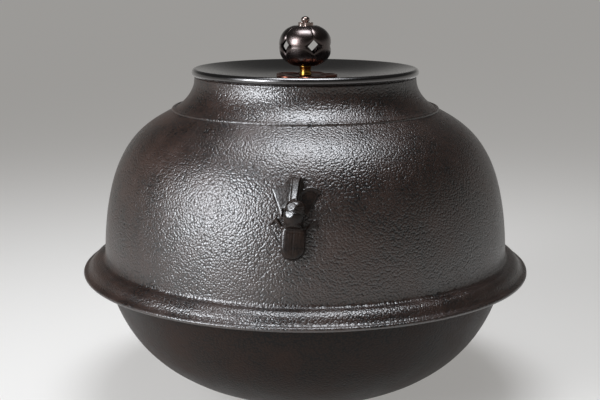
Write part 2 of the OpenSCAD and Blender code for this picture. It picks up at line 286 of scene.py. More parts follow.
def add_piece(
    name: str, bm: bmesh.types.BMesh, material: bpy.types.Material, body: Body,
    nodes: Sequence[str], crease: float = CREASE,
) -> bpy.types.Object:
    """Makes an object of a finished mesh and puts it on its body in place of its solids.

    Args:
        name: Name of the piece.
        bm: Finished mesh in metres, which is freed.
        material: Finish of the piece.
        body: Body that the piece rides on.
        nodes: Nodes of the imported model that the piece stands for.
        crease: Angle in degrees above which an edge stays sharp.

    Returns:
        The new object.
    """
    made = add_mesh(name, bm)
    mesh = made.data
    mesh.shade_smooth()
    mesh.set_sharp_from_angle(angle=math.radians(crease))
    mesh.materials.append(material)
    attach(made, body.value)
    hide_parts(*nodes)
    LOG.info("%s: %d faces, rides on %s", name, len(mesh.polygons), body.value)
    return made


def dress_part(
    piece: bpy.types.Object, material: bpy.types.Material,
    chosen: Callable[[bpy.types.MeshPolygon], bool],
) -> None:
    """Gives some faces of a piece another finish.

    Args:
        piece: Finished piece.
        material: Finish of the chosen faces.
        chosen: Tells whether a face is one of them.
    """
    piece.data.materials.append(material)
    index = len(piece.data.materials) - 1
    for face in piece.data.polygons:
        if chosen(face):
            face.material_index = index


def dress_node(name: str, material: bpy.types.Material) -> None:
    """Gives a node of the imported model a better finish.

    Args:
        name: Name of the node.
        material: Finish for all its slots.
    """
    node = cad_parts[name]
    if not node.material_slots:
        node.data.materials.append(material)
    for slot in node.material_slots:
        slot.material = material
    LOG.info("%s: solid kept, finished as %s", name, material.name)


def new_material(name: str) -> tuple[bpy.types.Material, bpy.types.NodeTree, bpy.types.NodeSocket]:
    """Starts an empty material.

    Args:
        name: Name of the material.

    Returns:
        The material, its node tree and a socket with Object coordinates.
    """
    material = bpy.data.materials.new(name)
    material.use_nodes = True
    tree = material.node_tree
    tree.nodes.clear()
    place = add_node(tree, "ShaderNodeTexCoord", {}).outputs["Object"]
    return material, tree, place


@dataclass(frozen=True)
class CastIronSkin:
    """Cast iron out of a stippled clay mould, browned over the fire.

    To the eye: a brown-black skin of pebbly grains that break a lamp's reflection into
    sparks, with painted shade darkening the grains' pits, warmer where rust shows through, and a finer skin
    on the flange and the bowl.
    """

    name: str = "cast_iron_stippled_skin"
    # Colour of the grains' pits, a painted shade that darkens their hollows
    pit_shade: str = "#0a0706"
    skin: str = "#2f1f18"
    rust: str = "#352219"
    roughness: float = 0.30
    # Refraction of the skin, black iron oxide under a film of tea
    ior: float = 1.95
    # Width and height of the grains of the belly, how softly they meet, and the share of a finer ripple
    grain: float = 1.08
    grain_h: float = 0.27
    softness: float = 0.25
    ripple: float = 0.35
    # Reliefs at which the painted shade in a pit is darkest and at which the skin is whole
    pit_relief: float = 0.6
    skin_relief: float = 0.2
    # Share of the grains' height that the flange and the bowl keep
    fine_share: float = 0.75
    # Heights between which the finer skin gives way to the grains
    fine_z: float = 80.0
    grain_z: float = 88.0
    # Heights between which the grains calm down towards the neck, and the share that is left there
    neck_low_z: float = 132.0
    neck_z: float = 162.0
    neck_share: float = 0.8
    # Width of the rust clouds, the noise at which rust begins and is full, and how much shows then
    cloud: float = 26.0
    rust_low: float = 0.42
    rust_high: float = 0.72
    rust_share: float = 0.8
    # How much glossier and how much duller the skin gets in places
    glossier: float = 0.05
    duller: float = 0.07

    def material(self) -> bpy.types.Material:
        """Builds the material."""
        material, tree, place = new_material(self.name)
        height = add_node(tree, "ShaderNodeSeparateXYZ", {0: place}).outputs["Z"]
        share = add_node(tree, "ShaderNodeMapRange", {
            "Value": height, "From Min": self.fine_z * MM, "From Max": self.grain_z * MM,
            "To Min": self.fine_share, "To Max": 1.0,
        }).outputs[0]
        calm = add_node(tree, "ShaderNodeMapRange", {
            "Value": height, "From Min": self.neck_low_z * MM, "From Max": self.neck_z * MM,
            "To Min": 1.0, "To Max": self.neck_share,
        }).outputs[0]
        cells = add_node(tree, "ShaderNodeTexVoronoi", {
            "Vector": place, "Scale": 1 / (self.grain * MM), "Smoothness": self.softness,
        }, feature="SMOOTH_F1").outputs["Distance"]
        pebbles = add_node(tree, "ShaderNodeMath", {
            0: cells, 1: cells,
        }, operation="MULTIPLY").outputs[0]
        ripples = add_node(tree, "ShaderNodeTexNoise", {
            "Vector": place, "Scale": 2 / (self.grain * MM), "Detail": 2.0, "Roughness": 0.5,
        }).outputs[0]
        clouds = add_node(tree, "ShaderNodeTexNoise", {
            "Vector": place, "Scale": 1 / (self.cloud * MM), "Detail": 4.0, "Roughness": 0.6,
        }).outputs[0]
        grains = add_node(tree, "ShaderNodeMath", {
            0: ripples, 1: self.ripple, 2: pebbles,
        }, operation="MULTIPLY_ADD").outputs[0]
        depth = add_node(tree, "ShaderNodeMath", {0: share, 1: calm}, operation="MULTIPLY").outputs[0]
        relief = add_node(tree, "ShaderNodeMath", {0: grains, 1: depth}, operation="MULTIPLY").outputs[0]
        bump = add_node(tree, "ShaderNodeBump", {
            "Height": relief, "Strength": 1.0, "Distance": self.grain_h * MM,
        }, invert=True).outputs[0]
        # Painted shade: the deeper a grain's hollow, the nearer its colour comes to the dark pit colour
        out_of_pit_shade = add_node(tree, "ShaderNodeMapRange", {
            "Value": grains, "From Min": self.pit_relief, "From Max": self.skin_relief,
        }).outputs[0]
        warm = add_node(tree, "ShaderNodeMapRange", {
            "Value": clouds, "From Min": self.rust_low, "From Max": self.rust_high,
            "To Max": self.rust_share,
        }).outputs[0]
        tone = add_node(tree, "ShaderNodeMix", {
            0: out_of_pit_shade, 6: linear(self.pit_shade), 7: linear(self.skin),
        }, data_type="RGBA").outputs[2]
        colour = add_node(tree, "ShaderNodeMix", {
            0: warm, 6: tone, 7: linear(self.rust),
        }, data_type="RGBA").outputs[2]
        gloss = add_node(tree, "ShaderNodeMapRange", {
            "Value": clouds, "From Min": CLOUD_LOW, "From Max": CLOUD_HIGH,
            "To Min": self.roughness - self.glossier, "To Max": self.roughness + self.duller,
        }).outputs[0]
        shader = add_node(tree, "ShaderNodeBsdfPrincipled", {
            "Base Color": colour, "Roughness": gloss, "IOR": self.ior, "Normal": bump,
        }).outputs[0]
        add_node(tree, "ShaderNodeOutputMaterial", {"Surface": shader})
        return material


@dataclass(frozen=True)
class WornMetal:
    """A metal surface with a patina, faint handling marks and a slight hand-made waviness.

    To the eye: one metal colour that shifts to its patina in clouds, crisp reflections
    that bend a little, and a gloss that varies where hands have rubbed it.
    """

    name: str
    bright: str
    patina: str
    roughness: float
    # How far the gloss varies to both sides
    wear: float
    # Width of the patina clouds, and of the waves and their height
    cloud: float
    wave: float
    wave_h: float
    # Share, refraction and roughness of a clear skin of wax or copper oxide
    coat: float = 0.0
    coat_ior: float = 1.5
    coat_roughness: float = 0.1
    # Noise at which the patina begins and is full
    stain_low: float = 0.35
    stain_high: float = 0.68
    # Lowest and highest place of a relief whose hollows hold the patina
    hollow_z: float = 0.0
    rim_z: float = 0.0

    def material(self) -> bpy.types.Material:
        """Builds the material."""
        material, tree, place = new_material(self.name)
        clouds = add_node(tree, "ShaderNodeTexNoise", {
            "Vector": place, "Scale": 1 / (self.cloud * MM), "Detail": 5.0, "Roughness": 0.62,
        }).outputs[0]
        waves = add_node(tree, "ShaderNodeTexNoise", {
            "Vector": place, "Scale": 1 / (self.wave * MM), "Detail": 1.0,
        }).outputs[0]
        stain = add_node(tree, "ShaderNodeMapRange", {
            "Value": clouds, "From Min": self.stain_low, "From Max": self.stain_high,
        }).outputs[0]
        if self.rim_z > self.hollow_z:
            height = add_node(tree, "ShaderNodeSeparateXYZ", {0: place}).outputs["Z"]
            hollow = add_node(tree, "ShaderNodeMapRange", {
                "Value": height, "From Min": self.rim_z * MM, "From Max": self.hollow_z * MM,
            }).outputs[0]
            stain = add_node(tree, "ShaderNodeMath", {
                0: stain, 1: hollow,
            }, operation="MAXIMUM").outputs[0]
        colour = add_node(tree, "ShaderNodeMix", {
            0: stain, 6: linear(self.bright), 7: linear(self.patina),
        }, data_type="RGBA").outputs[2]
        gloss = add_node(tree, "ShaderNodeMapRange", {
            "Value": clouds, "From Min": CLOUD_LOW, "From Max": CLOUD_HIGH,
            "To Min": self.roughness - self.wear, "To Max": self.roughness + self.wear,
        }).outputs[0]
        bump = add_node(tree, "ShaderNodeBump", {
            "Height": waves, "Strength": 1.0, "Distance": self.wave_h * MM,
        }).outputs[0]
        shader = add_node(tree, "ShaderNodeBsdfPrincipled", {
            "Base Color": colour, "Metallic": 1.0, "Roughness": gloss, "Normal": bump,
            "Coat Weight": self.coat, "Coat Roughness": self.coat_roughness, "Coat IOR": self.coat_ior,
        }).outputs[0]
        add_node(tree, "ShaderNodeOutputMaterial", {"Surface": shader})
        return material


IRON_SKIN = CastIronSkin()
# Soot from the fire leaves the bowl dull, and its darker skin on the bowl's down-facing faces is also
# painted shade
SOOT_AND_SHADE_IRON = CastIronSkin(
    "cast_iron_soot_and_painted_shade", pit_shade="#0a0706", skin="#251811", rust="#2a1a12", roughness=0.45, ior=1.3,
    grain_h=0.2,
)
# The upper half of a lug is rubbed bright in use, its wing covers stay dull
LUG_IRON = CastIronSkin(
    "cast_iron_rubbed_smooth", pit_shade="#110d0b", skin="#221914", rust="#2e1f17", roughness=0.24,
    ior=1.75, grain=1.1, grain_h=0.05, cloud=9.0,
)
LUG_DULL = CastIronSkin(
    "cast_iron_dull_smooth", pit_shade="#110d0b", skin="#231a15", rust="#2e1f17", roughness=0.32,
    ior=1.38, grain=1.1, grain_h=0.06, cloud=9.0,
)
LID_BRONZE = WornMetal(
    "bronze_cast_black_patina", "#4c4948", "#383534", 0.22, 0.04, cloud=18.0, wave=9.0, wave_h=0.02,
    coat=1.0, coat_ior=1.9, coat_roughness=0.2,
)
KNOB_BRONZE = WornMetal(
    "bronze_polished_brown_patina", "#42281f", "#281610", 0.28, 0.04, cloud=7.0, wave=5.0, wave_h=0.03,
    coat=1.0, coat_ior=1.8, coat_roughness=0.24,
)
STEM_BRASS = WornMetal(
    "brass_turned_polished", "#a3803c", "#6f5324", 0.24, 0.05, cloud=3.0, wave=4.0, wave_h=0.01,
)
FINIAL_COPPER = WornMetal(
    "copper_alloy_polished", "#b5a59d", "#5a4842", 0.20, 0.05, cloud=2.4, wave=3.0, wave_h=0.01,
)


@dataclass
class KettleCasting:
    """The iron casting: foot, bowl, waist flange, belly, raised line, neck and mouth."""

    belly_d: float = 235.0
    body_h: float = 187.0
    wall: float = 3.8
    floor_t: float = 5.0
    mouth_d: float = 120.0
    rim_round: float = 0.8
    foot_d: float = 64.0
    foot_ring_w: float = 6.0
    foot_recess: float = 0.8
    foot_round: float = 0.4
    gate_d: float = 26.0
    gate_h: float = 0.5
    shoulder_d: float = 152.0
    neck_h: float = 18.5
    shoulder_slope: float = 30.0
    bowl_slope: float = 13.5
    bowl_lean: float = 11.0
    bowl_reach: float = 52.0
    waist_reach: float = 46.0
    belly_reach: float = 74.0
    shoulder_reach: float = 19.0
    neck_reach: float = 14.0
    line_w: float = 2.4
    line_h: float = 1.1
    flange_d: float = 260.0
    flange_z: float = 76.0
    lip_t: float = 2.6
    flange_rise: float = 7.5
    flange_fillet: float = 2.0
    flange_drop: float = 5.0
    flange_crown: float = 6.5
    flange_hollow: float = 3.0
    # Depth and width of the slow and the quick unevenness of the cast skin
    swell: float = 0.2
    swell_w: float = 17.0
    lump: float = 0.04
    lump_w: float = 6.0
    # Distances from the rim between which it fades, and the least outward part of a normal outside
    calm: Corner = (-5.0, -2.0)
    outward: float = 0.05
    columns: int = 360

    def bowl(self) -> list[Vector]:
        """Gives the bowl's curve, from the foot to the waist."""
        foot = Vector((self.foot_d / 2, 0))
        waist = self.waist()
        lever = waist - polar(self.waist_reach, 90 - self.bowl_lean)
        return [foot, foot + polar(self.bowl_reach, self.bowl_slope), lever, waist]

    def belly(self) -> list[Vector]:
        """Gives the belly's curve, from the waist to the raised line."""
        waist = self.waist()
        line = self.line_point()
        lever = line + polar(self.shoulder_reach, -self.shoulder_slope)
        return [waist, waist + Vector((0, self.belly_reach)), lever, line]

    def neck(self) -> list[Vector]:
        """Gives the neck's curve, from the raised line to the rim."""
        line = self.line_point()
        top = Vector((self.mouth_d / 2 + self.wall, self.body_h - self.rim_round))
        lever = line - polar(self.neck_reach, -self.shoulder_slope)
        return [line, lever, top - Vector((0, self.rim_round)), top]

    def waist(self) -> Vector:
        """Gives the place where the belly meets the flange's lip level."""
        return Vector((self.belly_d / 2, self.flange_z + self.lip_t / 2))

    def line_point(self) -> Vector:
        """Gives the middle of the raised line's foot."""
        return Vector((self.shoulder_d / 2, self.body_h - self.neck_h))

    def side(self, bowl_steps: int, belly_steps: int, neck_steps: int) -> list[Vector]:
        """Samples the wall without its flange and line.

        Args:
            bowl_steps: Steps along the bowl.
            belly_steps: Steps along the belly.
            neck_steps: Steps along the neck.

        Returns:
            Points from the foot to the rim.
        """
        return [
            *curve(self.bowl(), bowl_steps),
            *curve(self.belly(), belly_steps)[1:],
            *curve(self.neck(), neck_steps)[1:],
        ]

    def flange_side(self, side: Sequence[Vector]) -> list[Vector]:
        """Draws the flange from its underside, round its lip and up its ogee.

        Args:
            side: Points of the plain wall.

        Returns:
            Points from the wall under the flange to the wall above it.
        """
        lip_r = self.lip_t / 2
        lip = Vector((self.flange_d / 2 - lip_r, self.flange_z))
        lip_top = lip + Vector((0, lip_r))
        low_z = self.flange_z - self.flange_drop
        high_z = self.flange_z + self.flange_rise + self.flange_fillet
        low = Vector((radius_at(side, low_z), low_z))
        fillet = Vector((radius_at(side, high_z) + self.flange_fillet, high_z))
        root = fillet - Vector((0, self.flange_fillet))
        hollow = lip_top - Vector((self.flange_hollow, 0))
        crown = root + Vector((self.flange_crown, 0))
        under_steps = 5
        under = [low.lerp(lip - Vector((0, lip_r)), i / under_steps) for i in range(under_steps)]
        return [
            *under,
            *arc(lip, lip_r, -90, 90, steps=10),
            *curve([lip_top, hollow, crown, root], steps=14)[1:],
            *arc(fillet, self.flange_fillet, 270, 180, steps=6)[1:],
        ]

    def line_side(self) -> list[Vector]:
        """Draws the raised line, half an oval across the shoulder."""
        along = polar(self.line_w / 2, 180 - self.shoulder_slope)
        out = polar(self.line_h, 90 - self.shoulder_slope)
        steps = 8
        angles = [math.pi * (1 - i / steps) for i in range(steps + 1)]
        return [self.line_point() + along * math.cos(a) + out * math.sin(a) for a in angles]

    def outline(self) -> list[Vector]:
        """Draws the whole section, from the middle of the base round to the middle of the floor."""
        side = self.side(bowl_steps=46, belly_steps=60, neck_steps=18)
        inner = beside(self.side(bowl_steps=14, belly_steps=14, neck_steps=6), self.wall)
        flange = self.flange_side(side)
        line = self.line_side()
        foot_r = self.foot_d / 2
        ring_r = foot_r - self.foot_ring_w
        gate_r = self.gate_d / 2
        gate_z = self.foot_recess - self.gate_h
        mouth_r = self.mouth_d / 2
        rim_z = self.body_h - self.rim_round
        rounded = Vector((0, self.foot_round))
        return [
            Vector((0, gate_z)),
            Vector((gate_r - self.foot_round, gate_z)),
            Vector((gate_r, self.foot_recess)),
            Vector((ring_r - self.foot_round, self.foot_recess)),
            *arc(Vector((ring_r + self.foot_round, 0)) + rounded, self.foot_round, 180, 270, steps=4),
            *arc(Vector((foot_r - self.foot_round, 0)) + rounded, self.foot_round, 270, 320, steps=3),
            *between(side, self.foot_round, flange[0].y),
            *flange,
            *between(side, flange[-1].y, line[0].y),
            *line,
            *between(side, line[-1].y, rim_z),
            *arc(Vector((mouth_r + self.wall - self.rim_round, rim_z)), self.rim_round, 0, 90, steps=4),
            *arc(Vector((mouth_r + self.rim_round, rim_z)), self.rim_round, 90, 180, steps=4),
            *reversed(between(inner, self.floor_t, rim_z)),
            Vector((radius_at(inner, self.floor_t), self.floor_t)),
            Vector((0, self.floor_t)),
        ]

    def roughen(self, bm: bmesh.types.BMesh) -> None:
        """Sinks the outside a little by noise, so that the cast wall is never quite even.

        Args:
            bm: Mesh of the casting, with its normals up to date.
        """
        foot_top = self.foot_recess + self.foot_round
        rim = [self.body_h + step for step in self.calm]
        for vert in bm.verts:
            out = Vector((vert.co.x, vert.co.y, 0)).normalized()
            z = vert.co.z / MM
            if vert.normal.dot(out) < self.outward:
                continue
            calm = smooth_step(foot_top, 4 * foot_top, z) * (1 - smooth_step(*rim, z))
            slow = 0.5 + 0.5 * noise.noise(vert.co / (self.swell_w * MM))
            quick = 0.5 + 0.5 * noise.noise(vert.co / (self.lump_w * MM))
            vert.co -= vert.normal * calm * (self.swell * slow + self.lump * quick) * MM

    def build(self, iron: bpy.types.Material, soot_and_shade: bpy.types.Material) -> None:
        """Builds and dresses the casting.

        Args:
            iron: Finish of the cast skin.
            soot_and_shade: Finish of the bowl's down-facing outside, soot together with a darker skin that
                is painted shade.
        """
        bm = spun(self.outline(), self.columns, closed=False)
        self.roughen(bm)
        made = add_piece("cast_kettle", bm, iron, Body.KETTLE, ["kettle_body"], crease=50.0)
        lip_low = (self.flange_z - self.lip_t / 2) * MM
        # Soot and painted shade: the bowl's faces below the flange that look down get the darker sooted
        # skin
        dress_part(made, soot_and_shade, lambda face: face.center.z < lip_low and face.normal.z < 0)


@dataclass
class InsectLug:
    """A lug in the shape of an insect, with a crest, a bead round its ring eye and two wing covers.

    It is shaped flat, X to the right, Y up the wall and Z off the wall from the foot of the
    ring eye, then laid on the curve of the belly.
    """

    casting: KettleCasting
    rise: float = 53.0
    eye_d: float = 7.2
    eye_seat: float = 1.4
    # Length of the bore, which stops short of the crest's edges
    eye_l: float = 12.8
    bead_d: float = 13.2
    bead_w: float = 11.4
    # Middle of the bead, from the middle of the eye
    bead_at: Corner = (-0.5, -0.4, 0.0)
    # Middle and radii of the head, from the middle of the eye, and of the collar
    head_at: Corner = (0.1, 3.2, 0.8)
    head_radii: Corner = (5.2, 3.9, 5.4)
    collar_at: Corner = (-0.3, -6.6, 1.6)
    collar_radii: Corner = (5.4, 2.8, 4.2)
    # Corners of the crest's fan, its height at the keel and its fall for each step to the left
    fan: Outline = (
        (-5.6, -2.2), (-12.3, 11.6), (-12.5, 12.8), (-10.2, 12.9), (-7.6, 13.8), (-5.8, 15.9),
        (-3.9, 18.1), (-2.1, 19.2), (-1.6, 19.2), (-1.6, 3.0),
    )
    fan_z: float = 3.0
    fan_fall: float = 0.09
    # Corners of the narrow flat that is filed along the fan's left edge
    filed_edge: Outline = (
        (-7.2, -2.4, 1.9), (-12.9, 11.8, 1.3), (-12.7, 13.0, 1.5), (-11.3, 12.9, 2.13), (-5.6, -2.4, 2.64),
    )
    # Corners of the crest's middle, its thickness, and the corners of its right lobe
    middle: Outline = ((-2.0, 19.2), (2.8, 19.0), (3.1, 15.0), (2.2, 11.4), (1.8, 4.0), (-2.0, 4.0))
    crest_t: float = 2.4
    lobe: Outline = (
        (1.6, 9.0, 1.3), (2.4, 12.2, 1.4), (4.8, 14.2, 1.4), (6.9, 14.8, 1.4), (9.5, 14.1, 1.2),
        (11.4, 12.8, 1.0), (9.4, 8.0, 0.9), (6.2, -0.6, 1.1), (2.0, 1.5, 1.2),
    )
    # Width of the crest's rims, and how far they stand up
    rim_d: float = 1.5
    rim_h: float = 0.05
    # The bright band along the keel: its left edge, its right edge at the top and at the head
    band_left: float = -2.5
    band_right: float = 1.1
    band_foot: float = 0.1
    # Its ends up the wall, and how far its sides spread downwards
    band_low_y: float = 3.0
    band_high_y: float = 18.6
    band_spread: float = 0.9
    # Height of the band's right edge at the top and at the head, and its fall for each step to the left
    band_top_z: float = 4.9
    band_foot_z: float = 5.1
    band_fall: float = 0.43
    # Half the width, ends and final thickness of the wing covers, and their height before pressing
    cover_r: float = 6.2
    cover_top_y: float = -10.0
    cover_low_y: float = -16.3
    wing_t: float = 5.2
    tall: float = 11.4
    # Height up to which the covers' sides stay upright, and where the pressing begins and is full
    side_z: float = 3.2
    press_y: Corner = (-6.0, -7.4)
    # Legs: hips, knees and toes from the middle, their heights and thickness
    hip: Corner = (4.6, -8.6, 0.6)
    knee: Corner = (9.8, -2.2, 0.6)
    toe: Corner = (11.5, -5.2, 0.0)
    leg_d: float = 1.9
    toe_d: float = 1.2
    # Directions of the flats on the head and the bead's left side, and their distances from the eye
    facets: Outline = ((-0.36, 0.16, 0.92), (-0.48, -0.04, 0.876))
    facet_reach: Corner = (6.05, 6.45)
    # Places of the ribs on a wing cover, and depth and width of their grooves and of the covers' seam
    ribs: Corner = (1.3, 2.7, 4.3)
    rib_cut: float = 0.04
    seam_cut: float = 0.1
    rib_w: float = 0.4
    # Place, depth and width of the groove under the collar
    collar_y: float = -8.8
    collar_cut: float = 0.25
    collar_w: float = 0.5
    # Heights off the wall between which these grooves come in
    cut_z: Corner = (1.4, 2.6)
    # Groove between head and bead: place, fall to the right, depth and width, and where it comes in
    head_y: float = 0.7
    head_fall: float = 0.25
    head_cut: float = 0.8
    head_w: float = 0.6
    head_z: Corner = (6.0, 8.0)
    # How far the hand-set shape is turned on the wall, in degrees
    lean: float = 3.5
    # Height over the floor up to which the lug stays dull, but for faces that look this far to the left
    dull_z: float = 124.5
    rubbed_x: float = -0.3
    # Upward part of a face's normal, below which soot from the fire keeps it dull
    dull_rise: float = 0.15
    # Depth to which the shapes run under the wall
    sunk: float = 2.0
    # Size of the cells that the shapes are fused with, and rounds of smoothing after it
    cell: float = 0.32
    rounds: int = 4

    def eye(self) -> Vector:
        """Gives the middle of the ring eye."""
        return Vector((0, 0, self.eye_seat + self.eye_d / 2))

    def ball(
        self, bm: bmesh.types.BMesh, centre: Sequence[float], radii: Sequence[float], detail: int = 4
    ) -> None:
        """Adds an egg-shaped mass.

        Args:
            bm: Mesh to add to.
            centre: Middle of the mass.
            radii: Its three radii.
            detail: Rounds of subdivision of its sphere.
        """
        place = Matrix.Translation(Vector(centre) * MM) @ Matrix.Diagonal((*(r * MM for r in radii), 1.0))
        bmesh.ops.create_icosphere(bm, subdivisions=detail, radius=1.0, matrix=place)

    def limb(
        self, bm: bmesh.types.BMesh, start: Sequence[float], end: Sequence[float],
        start_r: float, end_r: float,
    ) -> None:
        """Adds a tapered rod with round ends.

        Args:
            bm: Mesh to add to.
            start: Middle of its first end.
            end: Middle of its second end.
            start_r: Radius of the first end.
            end_r: Radius of the second end.
        """
        first = Vector(start)
        last = Vector(end)
        way = last - first
        turn = way.to_track_quat("Z", "Y").to_matrix().to_4x4()
        bmesh.ops.create_cone(
            bm, cap_ends=True, segments=24, radius1=start_r * MM, radius2=end_r * MM, depth=way.length * MM,
            matrix=Matrix.Translation((first + last) / 2 * MM) @ turn,
        )
        self.ball(bm, first, (start_r,) * 3, detail=2)
        self.ball(bm, last, (end_r,) * 3, detail=2)

    def leaf(self, bm: bmesh.types.BMesh, outline: Sequence[Sequence[float]]) -> None:
        """Adds a thick leaf of the crest.

        Args:
            bm: Mesh to add to.
            outline: The corners of its face, in order, with their heights off the wall.
        """
        face = bm.faces.new([bm.verts.new(Vector(corner) * MM) for corner in outline])
        sunken = bmesh.ops.extrude_face_region(bm, geom=[face])["geom"]
        for vert in sunken:
            if isinstance(vert, bmesh.types.BMVert):
                vert.co.z = -self.sunk * MM

    def chain(self, bm: bmesh.types.BMesh, points: Sequence[Sequence[float]], radius: float) -> None:
        """Adds a bent rod through several points.

        Args:
            bm: Mesh to add to.
            points: Points of its middle line.
            radius: Its radius.
        """
        for start, end in zip(points, points[1:]):
            self.limb(bm, start, end, radius, radius)

    def shape_crest(self, bm: bmesh.types.BMesh) -> None:
        """Adds the crest: a fan on the left with a filed edge, a lobe on the right and their rims.

        Args:
            bm: Mesh to add to.
        """
        fan = [(x, y, self.fan_z + self.fan_fall * (x - self.fan[-1][0])) for x, y in self.fan]
        middle = [(x, y, self.crest_t) for x, y in self.middle]
        for outline in (fan, middle, self.filed_edge, self.lobe):
            self.leaf(bm, outline)
        rim = self.rim_d / 2
        for edge in (middle[:2], self.lobe[1:6]):
            self.chain(bm, [(x, y - rim, z + self.rim_h) for x, y, z in edge], rim)

    def shape_keel(self, bm: bmesh.types.BMesh) -> None:
        """Adds the keel, a ridge whose sloping top is the bright band.

        Args:
            bm: Mesh to add to.
        """
        for vert in bmesh.ops.create_cube(bm, size=2.0)["verts"]:
            left = vert.co.x < 0
            raised = vert.co.z > 0
            at_top = vert.co.y > 0
            right_x = self.band_right if at_top else self.band_foot
            spread = 0.0 if raised else self.band_spread
            z = (self.band_top_z if at_top else self.band_foot_z) if raised else self.crest_t / 2
            if raised and left:
                z -= self.band_fall * (right_x - self.band_left)
            x = self.band_left - spread if left else right_x + spread
            vert.co = Vector((x, self.band_high_y if at_top else self.band_low_y, z)) * MM

    def shape_body(self, bm: bmesh.types.BMesh) -> None:
        """Adds the bead, the head, the collar, the wing covers and the legs.

        Args:
            bm: Mesh to add to.
        """
        bead_r = self.bead_d / 2
        self.ball(bm, self.eye() + Vector(self.bead_at), (self.bead_w / 2, bead_r, bead_r))
        self.ball(bm, self.eye() + Vector(self.head_at), self.head_radii)
        self.ball(bm, self.collar_at, self.collar_radii)
        steps = 5
        for i in range(steps + 1):
            y = self.cover_top_y + (self.cover_low_y - self.cover_top_y) * i / steps
            self.ball(bm, (0, y, 0), (self.cover_r, self.cover_r, self.tall))
        for side in (-1, 1):
            hip, knee, toe = ((side * x, y, z) for x, y, z in (self.hip, self.knee, self.toe))
            self.limb(bm, hip, knee, self.leg_d / 2, self.leg_d / 2)
            self.limb(bm, knee, toe, self.leg_d / 2, self.toe_d / 2)

    def fuse(self, bm: bmesh.types.BMesh) -> bmesh.types.BMesh:
        """Fuses the shapes, bores the ring eye and smooths the whole as a casting.

        Args:
            bm: Mesh of overlapping closed shapes, which is freed.

        Returns:
            One closed mesh.
        """
        eye = bmesh.new()
        bmesh.ops.create_cone(
            eye, cap_ends=True, segments=48, radius1=self.eye_d / 2 * MM, radius2=self.eye_d / 2 * MM,
            depth=self.eye_l * MM,
            matrix=Matrix.Translation(self.eye() * MM) @ Matrix.Rotation(math.pi / 2, 4, "Y"),
        )
        lug = add_mesh("lug_work", bm)
        bore = add_mesh("eye_work", eye)
        cells = {"mode": "VOXEL", "voxel_size": self.cell * MM}
        for name, kind, settings in (
            ("fused", "REMESH", cells),
            ("bored", "BOOLEAN", {"operation": "DIFFERENCE", "solver": "MANIFOLD", "object": bore}),
            ("even", "REMESH", cells),
            ("softened", "SMOOTH", {"iterations": self.rounds}),
        ):
            modifier = lug.modifiers.new(name, kind)
            for key, value in settings.items():
                setattr(modifier, key, value)
        made = bmesh.new()
        made.from_object(lug, bpy.context.evaluated_depsgraph_get())
        for part in (lug, bore):
            mesh = part.data
            bpy.data.objects.remove(part)
            bpy.data.meshes.remove(mesh)
        return made

    def engrave(self, bm: bmesh.types.BMesh) -> None:
        """Presses the wing covers flat, cuts the grooves and files the head's facets.

        Args:
            bm: Fused mesh of the lug, flat.
        """
        bm.normal_update()
        eye = self.eye() * MM
        flats = zip(self.facets, self.facet_reach)
        facets = [(Vector(way).normalized(), reach * MM) for way, reach in flats]
        crown = self.wing_t - self.side_z
        for vert in bm.verts:
            x, y, z = vert.co / MM
            z = max(z, -self.sunk)
            facing = max(vert.normal.z, 0.0)
            wing = smooth_step(*self.press_y, y)
            if z > self.side_z:
                pressed = self.wing_t - crown * math.exp((self.side_z - z) / crown)
                z += (pressed - z) * wing
            ribs = sum(dent(abs(x) - rib, self.rib_w) for rib in self.ribs)
            cut = wing * (self.seam_cut * dent(x, self.rib_w) + self.rib_cut * ribs)
            cut += self.collar_cut * dent(y - self.collar_y, self.collar_w)
            cut *= smooth_step(*self.cut_z, z)
            head = dent(y - self.head_y + self.head_fall * x, self.head_w)
            cut += self.head_cut * head * smooth_step(*self.head_z, z)
            vert.co.z = (z - cut * facing) * MM
            for way, reach in facets:
                vert.co -= way * max((vert.co - eye).dot(way) - reach, 0.0)

    def lay(self, bm: bmesh.types.BMesh, side: float) -> None:
        """Lays the flat lug on the belly's wall.

        Args:
            bm: Mesh of the lug, flat.
            side: Turn round the kettle in degrees, 0 at the front.
        """
        belly = curve(self.casting.belly(), steps=200)
        height = self.casting.flange_z + self.rise
        i = next(i for i, p in enumerate(belly) if p.y >= height)
        share = (height - belly[i - 1].y) / (belly[i].y - belly[i - 1].y)
        seat = belly[i - 1].lerp(belly[i], share)
        way = (belly[i] - belly[i - 1]).normalized()
        out = Vector((way.y, -way.x))
        # How far the wall falls away from the flat, at heights up the wall
        flat = [Vector(((p - seat).dot(out), (p - seat).dot(way))) for p in belly]
        turned = Matrix.Rotation(math.radians(-self.lean), 3, "Z")
        bmesh.ops.rotate(bm, cent=(0, 0, 0), matrix=turned, verts=bm.verts[:])
        for vert in bm.verts:
            x, y, _ = vert.co / MM
            vert.co.z += (radius_at(flat, y) - x * x * out.x / (2 * seat.x)) * MM
        slope = math.asin(-way.x)
        place = (
            Matrix.Rotation(math.radians(side), 4, "Z")
            @ Matrix.Translation((0, -seat.x * MM, seat.y * MM))
            @ Matrix.Rotation(math.pi / 2 - slope, 4, "X")
        )
        bmesh.ops.transform(bm, matrix=place, verts=bm.verts[:])

    def stays_dull(self, face: bpy.types.MeshPolygon, facing: float) -> bool:
        """Tells whether a face is one that use never rubs bright.

        Args:
            face: Face of the laid lug.
            facing: 1 for the front lug and -1 for the back one.

        Returns:
            Whether it looks down, or lies on the wing covers away from their left edge.
        """
        on_cover = face.center.z < self.dull_z * MM and face.normal.x * facing > self.rubbed_x
        return face.normal.z < self.dull_rise or on_cover

